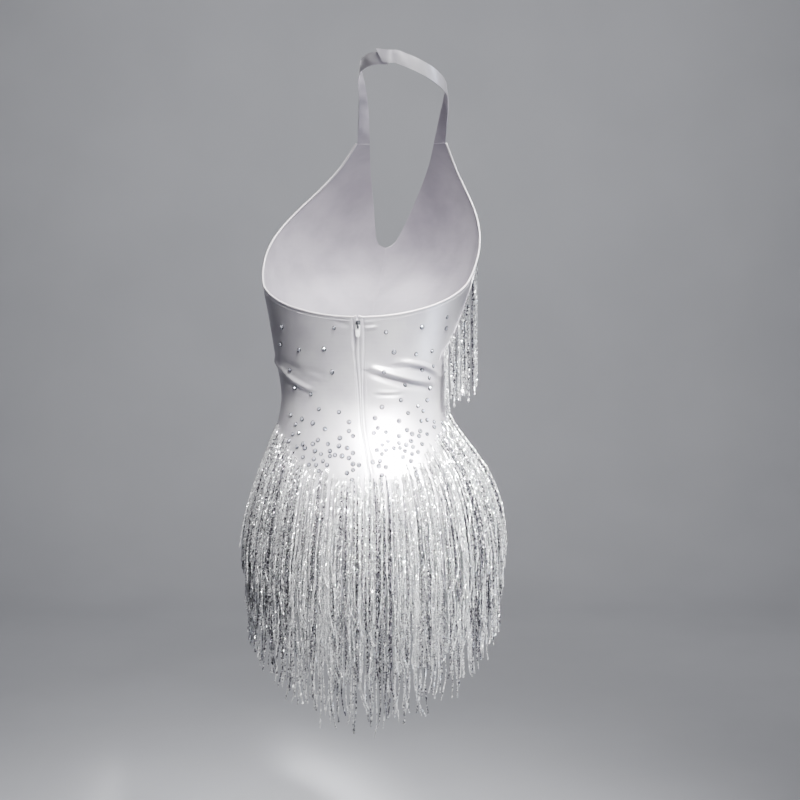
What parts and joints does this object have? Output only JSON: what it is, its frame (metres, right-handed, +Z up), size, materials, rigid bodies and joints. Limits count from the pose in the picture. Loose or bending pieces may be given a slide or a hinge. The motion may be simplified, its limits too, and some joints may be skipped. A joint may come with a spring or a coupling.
{
  "type": "tassel bodysuit",
  "caption": "Backless satin halter bodysuit for the stage, with a long metallic fringe round the hips, a fringe over one bust and a centre-back zip.",
  "frame": {"origin": "the middle of the nape, on the inner face of the neck strap, where the neck carries the garment", "axes": "+Z up along the body, -Y is the front of the wearer and +X the wearer's left"},
  "size_m": [0.3569, 0.258, 0.8799],
  "materials": {
    "satin": "stretch satin, white with a lilac cast, soft sheen",
    "binding": "narrow rolled satin edge",
    "lurex": "twisted silver metallic yarn",
    "zip_metal": "plated zip slider and pull",
    "zip_cloth": "woven zip tape"
  },
  "bodies": {
    "garment": {"back_left": "satin", "back_right": "satin", "front": "satin", "strap_left": "satin", "strap_right": "satin", "binding_left": "binding", "binding_right": "binding", "zip_tape": "zip_cloth", "zip_slider": "zip_metal", "fringe_upper": "lurex", "fringe_middle": "lurex", "fringe_lower": "lurex", "fringe_bust": "lurex"},
    "pull_tab": {"zip_pull": "zip_metal"}
  },
  "joints": [
    {"name": "pull_flip", "type": "hinge", "parent": "garment", "child": "pull_tab", "pos_m": [0.04892, 0.02731, -0.33849], "axis": [0.9977, -0.0677, 0], "range_deg": [0, 150]}
  ]
}
